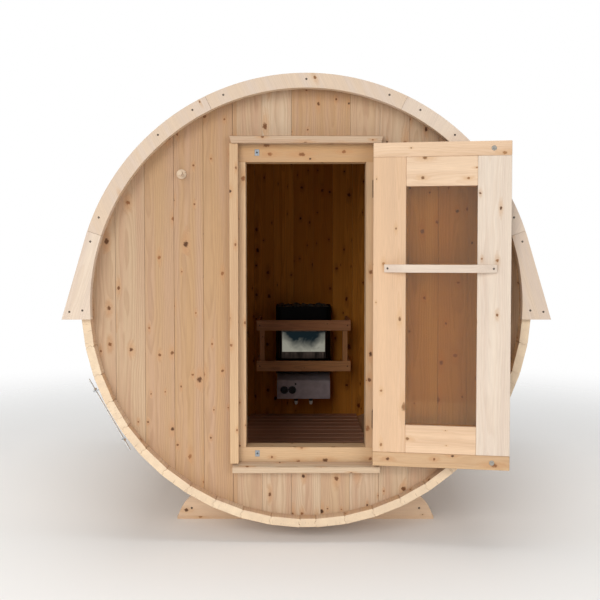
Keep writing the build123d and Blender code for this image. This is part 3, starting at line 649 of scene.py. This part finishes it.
def mirrorSheet():
    # mirror-finish steel with a painted reflection: darker towards the top and paler at the side edges,
    # slightly wavy, so what it reflects is bent
    material, tree = newMaterial("mirror sheet with painted reflection")
    place = addNode(tree, "TexCoord").outputs["Object"]
    low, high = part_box("heater_mirror_panel")
    waves = addNode(tree, "TexNoise", {}, {
        "Vector": place, "Scale": paintedReflectionLook["waves"], "Detail": 3, "Distortion": 1.2}).outputs[0]
    apart = addNode(tree, "SeparateXYZ", {}, {0: place})
    sideways = addNode(tree, "Math", {"operation": "ABSOLUTE"}, {0: apart.outputs[0]})
    sideways = addNode(tree, "MapRange", {}, {
        0: sideways, 1: high.x * 0.5, 2: high.x, 4: paintedReflectionLook["sidewards"]})
    atBottom, atTop = paintedReflectionLook["upwards"]
    height = addNode(tree, "MapRange", {}, {
        0: apart.outputs[2], 1: low.z, 2: high.z, 3: atBottom, 4: atTop})
    share = addNode(tree, "Math", timesPlus, {0: waves, 1: paintedReflectionLook["wavesBy"], 2: height})
    share = addNode(tree, "Math", {"operation": "ADD", "use_clamp": True}, {0: share, 1: sideways})
    tone = addNode(tree, "Mix", inColour, {
        0: share, 6: linearColour(paintedReflectionLook["bottom"]), 7: linearColour(paintedReflectionLook["top"])})
    bump = addNode(tree, "Bump", {}, {"Strength": 0.1, "Distance": paintedReflectionLook["relief"], "Height": waves})
    shader = addNode(tree, "BsdfPrincipled", {}, {
        "Base Color": tone.outputs[2], "Metallic": 1.0, "Roughness": paintedReflectionLook["roughness"], "Normal": bump})
    return finished(material, shader)


metals = {name: metal(name, look) for name, look in metalLooks.items()}
metals["mirrorSheet"] = mirrorSheet()
coats = {name: coat(name, look) for name, look in coatLooks.items()}


def dress(node, material):
    # a CAD node that keeps its shape gets its finish
    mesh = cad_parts[node].data
    mesh.materials.clear()
    mesh.materials.append(material)


def easedPiece(node, material, edge):
    # a copy of a CAD node with small rounds on its edges
    bm = copyOf(node)
    roundEdges(bm, edge, 3)
    newPiece("eased_" + node, bm, material, "barrel", [node], 35)


for node, finish in (("steel_bands", "brushedStainless"), ("hinge_casing_halves", "bronzePlate"),
                     ("hinge_leaf_halves", "bronzePlate"), ("heater_brackets", "oxidisedSheet")):
    dress(node, metals[finish])
easedPiece("heater_body", metals["oxidisedSheet"], 0.001)
easedPiece("heater_mirror_panel", metals["mirrorSheet"], 0.0022)
easedPiece("heater_tray", coats["blackEnamel"], 0.0012)
easedPiece("heater_control_box", coats["greyPowderCoat"], 0.0030)
easedPiece("strike_plates", metals["zincPlate"], 0.0006)
dress("door_glass", bronzeGlass())
print("Metals, coats and glass ready")


# Turned and small pieces

def facing(place, towards):
    # a matrix that puts Z along a direction, at a place
    return Matrix.Translation(place) @ Vector(towards).to_track_quat("Z", "Y").to_matrix().to_4x4()


def addTurned(bm, matrix, rings, sides=32):
    # rings of (radius, height): a radius may be a function of the angle
    rows = []
    for radius, height in rings:
        row = []
        for number in range(sides):
            angle = 2 * math.pi * number / sides
            reach = radius(angle) if callable(radius) else radius
            point = Vector((reach * math.cos(angle), reach * math.sin(angle), height))
            row.append(bm.verts.new(matrix @ point))
        rows.append(row)
    for lower, upper in zip(rows, rows[1:]):
        for number in range(sides):
            after = (number + 1) % sides
            bm.faces.new((lower[number], lower[after], upper[after], upper[number]))
    bm.faces.new(rows[0][::-1])
    bm.faces.new(rows[-1])


screwLook = {
    "radius": 0.0046,  # of the head
    "rise": 0.0007,
    "recess": 0.0016,  # depth of the cross
    "arms": (0.62, 0.2),  # reach of the cross's arms, and between them, in radii
    "round": 0.86, "flat": 0.74,  # where the head's round ends, and a ring on its flat top
}
axisEnd = 0.0002  # radius of the last ring of what ends at its axis


def addScrew(bm, place, towards, size=1.0):
    # a cross-head screw; size 1 has the head named above
    radius, rise, recess = [screwLook[key] * size for key in ("radius", "rise", "recess")]
    long, short = screwLook["arms"]
    cross = lambda angle: radius * (long if round(angle / (math.pi / 8)) % 4 == 0 else short)
    addTurned(bm, facing(place, towards), [
        (radius, -0.001), (radius, rise * 0.4), (radius * screwLook["round"], rise),
        (radius * screwLook["flat"], rise), (cross, rise), (cross, rise - recess), (axisEnd, rise - recess)],
        sides=16)


def onOpenLeaf(x, y, z):
    # a point of the closed leaf where the open leaf stands
    hinge = Vector((*closedLeaf["hinge"], 0))
    return openLeafWay(*(Vector((x, y, z)) - hinge)) + hinge


def openLeafWay(x, y, z):
    return Matrix.Rotation(math.radians(closedLeaf["openAngle"]), 3, "Z") @ Vector((x, y, z))


trimScrews = {
    "radius": 0.980,  # from the barrel's axis
    "turns": (0, 21.5, 30.2, 41.0, 67.0, 73.5),  # degrees from the top, on both sides
    "feet": ((0.977, 1.040), (1.034, 1.034)),  # X and Z
    "faces": ((-0.412, -1), (1.798, 1)),  # Y of the trim's faces, and which way they look
}
smallScrews = {
    "railEnd": 0.020, "railEdge": 0.0325, "railSize": 0.9,  # in the guard's front rails
    "plateEnd": 0.014, "plateSize": 0.9,  # in the strike plates
    "cradle": (0.551, 0.053), "cradleFaces": ((-0.019, -1), (1.405, 1)), "cradleSize": 1.1,
}
handleScrews = {
    "start": 0.049, "length": 0.480,  # of the handles, from the leaf's edge at the hinges
    "height": 1.224,
    "fromEnd": 0.015,
    "thickness": 0.013,  # of a handle's end, which slopes by this much over this length:
    "slope": (0.033, 0.088),
}


def makeScrews():
    bm = bmesh.new()
    for y, way in trimScrews["faces"]:
        for side in (-1, 1):
            for turn in trimScrews["turns"]:
                if turn or side > 0:
                    x = side * trimScrews["radius"] * math.sin(math.radians(turn))
                    z = barrel["axisHeight"] + trimScrews["radius"] * math.cos(math.radians(turn))
                    addScrew(bm, (x, y, z), (0, way, 0))
            for x, z in trimScrews["feet"]:
                addScrew(bm, (side * x, y, z), (0, way, 0))
    newPiece("trim_screws", bm, metals["blackScrew"], "barrel")

    bm = bmesh.new()
    low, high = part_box("guard_front_rails")
    for side in (-1, 1):
        for z in (low.z + smallScrews["railEdge"], high.z - smallScrews["railEdge"]):
            x = side * (high.x - smallScrews["railEnd"])
            addScrew(bm, (x, low.y, z), (0, -1, 0), smallScrews["railSize"])
    x, z = smallScrews["cradle"]
    for y, way in smallScrews["cradleFaces"]:
        for side in (-1, 1):
            addScrew(bm, (side * x, y, z), (0, way, 0), smallScrews["cradleSize"])
    newPiece("rail_and_cradle_screws", bm, metals["blackScrew"], "barrel")

    bm = bmesh.new()
    low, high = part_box("strike_plates")
    for z in (low.z + smallScrews["plateEnd"], high.z - smallScrews["plateEnd"]):
        addScrew(bm, ((low.x + high.x) / 2, low.y, z), (0, -1, 0), smallScrews["plateSize"])
    newPiece("strike_plate_screws", bm, metals["blackScrew"], "barrel")

    bm = bmesh.new()
    slope = math.atan2(*handleScrews["slope"])
    fromEnd = handleScrews["fromEnd"]
    out = handleScrews["thickness"] + fromEnd * math.tan(slope)
    for face, side in ((closedLeaf["inside"], 1), (closedLeaf["outside"], -1)):
        for end, lean in ((fromEnd, 1), (handleScrews["length"] - fromEnd, -1)):
            x = closedLeaf["edge"] - handleScrews["start"] - end
            place = onOpenLeaf(x, face + side * out, handleScrews["height"])
            addScrew(bm, place, openLeafWay(lean * math.sin(slope), side * math.cos(slope), 0))
    newPiece("handle_screws", bm, metals["blackScrew"], "door")


hingeScrews = {
    "sunk": 0.0003,  # so far that the plates still close on each other
    "plateMiddle": -0.335,  # Y, while the leaf is closed
    "faces": {"hinge_casing_halves": ("barrel", 0.297, -1), "hinge_leaf_halves": ("door", 0.296, 1)},  # X
    "fromEnds": (0.038, 0.040),  # from the lower and the upper hinge's outer end
    "zigzag": ((0.006, -0.027), (-0.006, 0), (0.006, 0.027)),  # along Y and Z
    "size": 0.8,
}


def makeHingeScrews():
    # countersunk, three in each plate
    fromBottom, fromTop = hingeScrews["fromEnds"]
    for node, (body, face, side) in hingeScrews["faces"].items():
        bm = bmesh.new()
        low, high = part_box(node)
        for middle in (low.z + fromBottom, high.z - fromTop):
            for sideways, up in hingeScrews["zigzag"]:
                y = hingeScrews["plateMiddle"] + sideways
                place = (face - hingeScrews["sunk"] * side, y, middle + up)
                way = (side, 0, 0)
                if body == "door":
                    place, way = onOpenLeaf(*place), openLeafWay(*way)
                addScrew(bm, place, way, hingeScrews["size"])
        newPiece(node + "_screws", bm, metals["bronzePlate"], body)


magnets = {
    "x": -0.219, "fromEnds": 0.011,  # on the closed leaf, and from the ends of the magnets' box
    # radius and height of each ring
    "cup": ((0.011, -0.006), (0.011, -0.0003), (0.0107, 0), (0.0092, 0), (0.0090, -0.0012),
            (axisEnd, -0.0012)),
    "heart": ((0.0089, -0.0012), (0.0089, -0.0006), (0.0087, -0.0004), (0.0050, -0.0004),
              (0.0034, -0.0018), (axisEnd, -0.0018)),
    "screwDepth": 0.0016, "screwSize": 0.7,
}


def makeMagnets():
    # a steel cup with a dark magnet in it, and a screw through its middle
    low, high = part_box("door_magnets")
    bm = bmesh.new()
    hearts = bmesh.new()
    way = openLeafWay(0, 1, 0)
    for z in (low.z + magnets["fromEnds"], high.z - magnets["fromEnds"]):
        matrix = facing(onOpenLeaf(magnets["x"], closedLeaf["inside"], z), way)
        addTurned(bm, matrix, magnets["cup"])
        addTurned(hearts, matrix, magnets["heart"])
        addScrew(hearts, matrix.translation - way * magnets["screwDepth"], way, magnets["screwSize"])
    newPiece("magnet_cups", bm, metals["nickelPlate"], "door", ["door_magnets"])
    newPiece("magnet_hearts", hearts, metals["nickelPlate"], "door", ["door_magnets"])


makeScrews()
makeHingeScrews()
makeMagnets()
print("Screws and magnets set")


def hexagon(reach, cut=1.0):
    # a radius for addTurned: a hexagon of this reach, its corners cut back to a share of it
    corner = math.pi / 3
    return lambda angle: min(
        reach * math.cos(corner / 2) / math.cos((angle % corner) - corner / 2), reach * cut)


# Band tensioners: a threaded rod through the two ears, with a chamfered nut outside each

tensioner = {
    "distance": 1.030,  # from the barrel's axis to the rod
    "turn": 209.6,  # degrees from +X, seen from the front
    "middles": {"front_band_tensioner": -0.254, "rear_band_tensioner": 1.640},
    "length": 0.375, "radius": 0.0039,
    "pitch": 0.0025,  # coarser than the real 1.25 mm, so that it shows
    "threadDepth": 0.0006, "threadSides": 12, "stepsPerTurn": 4,
    "nutFrom": 0.1293, "nutLength": 0.009, "nutRadius": 0.009, "nutHole": 0.0036,
    "chamfer": 0.0011, "chamferCut": 0.90,
}


def addThread(bm, matrix):
    # a closed strip of rings whose radius follows the thread's helix
    steps = tensioner["stepsPerTurn"]
    count = int(tensioner["length"] / tensioner["pitch"] * steps)
    rings = []
    for number in range(count + 1):
        height = (number / count - 0.5) * tensioner["length"]
        start = number / steps

        def radius(angle, start=start):
            phase = (start - angle / (2 * math.pi)) % 1
            return tensioner["radius"] - tensioner["threadDepth"] * abs(2 * phase - 1)
        rings.append((radius, height))
    addTurned(bm, matrix, rings, tensioner["threadSides"])


def addNut(bm, matrix, low, high):
    hole, reach, chamfer = tensioner["nutHole"], tensioner["nutRadius"], tensioner["chamfer"]
    rounded, full = hexagon(reach, tensioner["chamferCut"]), hexagon(reach)
    addTurned(bm, matrix, [
        (hole, low), (rounded, low), (full, low + chamfer), (full, high - chamfer), (rounded, high),
        (hole, high)], sides=36)


def makeTensioners():
    turn = math.radians(tensioner["turn"])
    out, up = math.cos(turn), math.sin(turn)
    for node, y in tensioner["middles"].items():
        place = (tensioner["distance"] * out, y, barrel["axisHeight"] + tensioner["distance"] * up)
        matrix = facing(place, (-up, 0, out))
        bm = bmesh.new()
        addThread(bm, matrix)
        start, end = tensioner["nutFrom"], tensioner["nutFrom"] + tensioner["nutLength"]
        addNut(bm, matrix, start, end)
        addNut(bm, matrix, -end, -start)
        newPiece("threaded_" + node, bm, metals["threadedStainless"], "barrel", [node], 30)


makeTensioners()
print("Tensioners made")


# Heater: stones in the tray, turned knobs, cable glands

stones = {
    "seed": 7, "across": (7, 5), "spacing": 0.047,
    "size": (0.021, 0.031),  # half widths
    "shape": ((0.9, 1.25), (0.75, 1.0), (0.6, 0.85)),  # of that size, in length, width and height
    "drops": (0.066, 0.036, 0.012),  # of the middles of three layers, from the tray's rim
    "shiftBy": 0.004, "liftBy": 0.005,
    "lean": 0.5,  # radians
    "faces": 9, "faceDepth": (0.62, 0.85), "flatness": 0.85,  # the flat faces it was split along
    "wallGap": 0.004, "wallShare": 1.05,  # room between the stones' sizes and the tray's walls
}


def addStone(bm, place, size, chance):
    made = bmesh.ops.create_icosphere(bm, subdivisions=3, radius=1)["verts"]
    shape = Vector([size * chance.uniform(*span) for span in stones["shape"]])
    turn = Matrix.Rotation(chance.uniform(0, 6.28), 3, "Z")
    turn = turn @ Matrix.Rotation(chance.uniform(-stones["lean"], stones["lean"]), 3, "X")
    cuts = []
    for _ in range(stones["faces"]):
        normal = Vector([chance.gauss(0, 1) for _ in range(3)]).normalized()
        cuts.append((normal, chance.uniform(*stones["faceDepth"])))
    for vert in made:
        point = vert.co.copy()
        for normal, depth in cuts:
            over = point.dot(normal) - depth
            if over > 0:
                point -= normal * over * stones["flatness"]
        vert.co = Vector(place) + turn @ Vector([a * b for a, b in zip(point, shape)])


def makeStones():
    chance = random.Random(stones["seed"])
    low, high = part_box("heater_tray")
    middle = (low + high) / 2
    columns, rows = stones["across"]
    spacing, away, lift = stones["spacing"], stones["shiftBy"], stones["liftBy"]
    bm = bmesh.new()
    for layer, drop in enumerate(stones["drops"]):
        shift = 0.5 * (layer % 2)  # every second layer lies in the gaps of the one below
        for column in range(columns - layer % 2):
            for row in range(rows):
                size = chance.uniform(*stones["size"])
                x = middle.x + (column + shift - (columns - 1) / 2) * spacing + chance.uniform(-away, away)
                y = middle.y + (row - (rows - 1) / 2) * spacing + chance.uniform(-away, away)
                inside = size * stones["wallShare"] + stones["wallGap"]
                x = min(max(x, low.x + inside), high.x - inside)
                y = min(max(y, low.y + inside), high.y - inside)
                addStone(bm, (x, y, high.z - drop + chance.uniform(-lift, lift)), size, chance)
    newPiece("olivine_stones", bm, coats["splitOlivine"], "barrel", ["heater_stones"], 30)


knobs = {
    "places": ((-0.1235, 0.058), (-0.0725, 0.058)),  # X, and height on the control box
    "switch": (-0.051, 0.096),  # the small one above them
    "flutes": 10, "fluteDepth": 0.035,  # the depth as a share of the radius
}


def fluted(reach):
    return lambda angle: reach * (1 - knobs["fluteDepth"] * max(0, math.cos(knobs["flutes"] * angle)))


def makeKnobs():
    bm = bmesh.new()
    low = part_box("heater_control_box")[0]
    knob = [(0.0246, 0.0), (0.0246, 0.003), (fluted(0.0232), 0.0045), (fluted(0.0220), 0.019),
            (0.0208, 0.0212), (0.0190, 0.0220), (axisEnd, 0.0220)]
    button = [(0.0060, 0.0), (0.0060, 0.0040), (0.0052, 0.0055), (0.0030, 0.0060), (axisEnd, 0.0060)]
    for x, height in knobs["places"]:
        addTurned(bm, facing((x, low.y, low.z + height), (0, -1, 0)), knob, sides=60)
    x, height = knobs["switch"]
    addTurned(bm, facing((x, low.y, low.z + height), (0, -1, 0)), button)
    newPiece("turned_knobs", bm, coats["blackPhenolic"], "barrel", ["heater_knobs"], 35)


glands = {
    "places": (-0.0475, 0.0475),  # X
    # radius and height of each ring, from the control box down
    "nut": ((0.0130, 0.0), (0.0130, 0.0015), (hexagon(0.0128), 0.0016), (hexagon(0.0128), 0.0160),
            (0.0112, 0.0172), (0.0088, 0.0176), (0.0088, 0.0190), (axisEnd, 0.0190)),
    "cap": ((0.0088, 0.0186), (0.0105, 0.0192), (hexagon(0.0118), 0.0196), (hexagon(0.0118), 0.0290),
            (0.0102, 0.0330), (0.0085, 0.0400), (0.0070, 0.0420), (0.0050, 0.0416), (axisEnd, 0.0380)),
}


def makeGlands():
    low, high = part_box("heater_glands")
    for name, part, finish in (("gland_nuts", "nut", "blackPhenolic"), ("gland_caps", "cap", "paleNylon")):
        bm = bmesh.new()
        for x in glands["places"]:
            addTurned(bm, facing((x, (low.y + high.y) / 2, high.z), (0, 0, -1)), glands[part], sides=36)
        newPiece(name, bm, coats[finish], "barrel", ["heater_glands"], 30)


makeStones()
makeKnobs()
makeGlands()
print("Heater dressed")


# Floor, light and background

studio = {
    "floor": "#F7F5F2",
    "floorMiddle": (0, 0.7, 0),  # under the middle of the barrel
    "fadeFrom": 1.3, "fadeTo": 5.5,  # metres from there
    "sky": "#E4E7EA", "skyStrength": 0.45,
}
# where each lamp is and where it points, how wide it is, how strong, and its colour
lamps = {
    "key": ((-2.4, -7.0, 3.2), (0, 0.4, 1), 3.6, 262, "#FFFDFB"),
    "fill": ((4.2, -6.5, 2.4), (0, 0.4, 1), 4.0, 150, "#FFFFFF"),
    "top": ((0.0, 0.5, 7.0), (0, 0.4, 1), 5.0, 210, "#FFFFFF"),
    "side": ((-6.0, -3.0, 2.2), (0, 0.4, 1), 2.0, 38, "#FFFBF4"),  # puts glints on the steel
    "bounce": ((-0.4, -1.7, 0.14), (-0.4, -1.3, 3), 1.8, 9, "#FFF6EC"),  # what sunlit ground throws back
}


def makeFloor():
    bm = bmesh.new()
    bmesh.ops.create_circle(bm, cap_ends=True, segments=96, radius=studio["fadeTo"] + 1)
    mesh = bpy.data.meshes.new("floor")
    bm.to_mesh(mesh)
    bm.free()
    floor = bpy.data.objects.new("floor", mesh)
    floor.location = studio["floorMiddle"]
    bpy.context.scene.collection.objects.link(floor)
    material, tree = newMaterial("matt white floor")
    place = addNode(tree, "TexCoord").outputs["Object"]
    far = addNode(tree, "VectorMath", lengthOf, {0: place}).outputs["Value"]
    share = addNode(tree, "MapRange", smoothly, {0: far, 1: studio["fadeFrom"], 2: studio["fadeTo"]})
    matt = addNode(tree, "BsdfDiffuse", {}, {"Color": linearColour(studio["floor"])})
    clear = addNode(tree, "BsdfTransparent")
    mesh.materials.append(finished(material, addNode(tree, "MixShader", {}, {0: share, 1: matt, 2: clear})))


def makeWorld():
    # plain white to the camera and in what shines, a softer sky for the light it gives
    world = bpy.data.worlds.new("studio")
    world.use_nodes = True
    tree = world.node_tree
    tree.nodes.clear()
    rays = addNode(tree, "LightPath").outputs
    seen = rays["Is Camera Ray"]
    for kind in ("Is Glossy Ray", "Is Transmission Ray"):
        seen = addNode(tree, "Math", {"operation": "MAXIMUM"}, {0: seen, 1: rays[kind]})
    soft = addNode(tree, "Background", {}, {
        "Color": linearColour(studio["sky"]), "Strength": studio["skyStrength"]})
    white = addNode(tree, "Background", {}, {"Color": (1, 1, 1, 1), "Strength": 1})
    both = addNode(tree, "MixShader", {}, {0: seen, 1: soft, 2: white})
    addNode(tree, "OutputWorld", {}, {"Surface": both})
    bpy.context.scene.world = world


def makeLamp(name, place, target, size, power, colour):
    lamp = bpy.data.lights.new(name, "AREA")
    lamp.size = size
    lamp.energy = power
    lamp.color = linearColour(colour)[:3]
    holder = bpy.data.objects.new(name, lamp)
    holder.location = place
    holder.rotation_euler = (Vector(target) - Vector(place)).to_track_quat("-Z", "Y").to_euler()
    holder.visible_camera = False
    holder.visible_glossy = name == "side"
    holder.visible_transmission = name != "key"  # its image would stand in the door's glass
    bpy.context.scene.collection.objects.link(holder)


makeFloor()
makeWorld()
for lampName, lamp in lamps.items():
    makeLamp(lampName, *lamp)
bpy.context.scene.view_settings.view_transform = "Standard"
print("Studio ready")
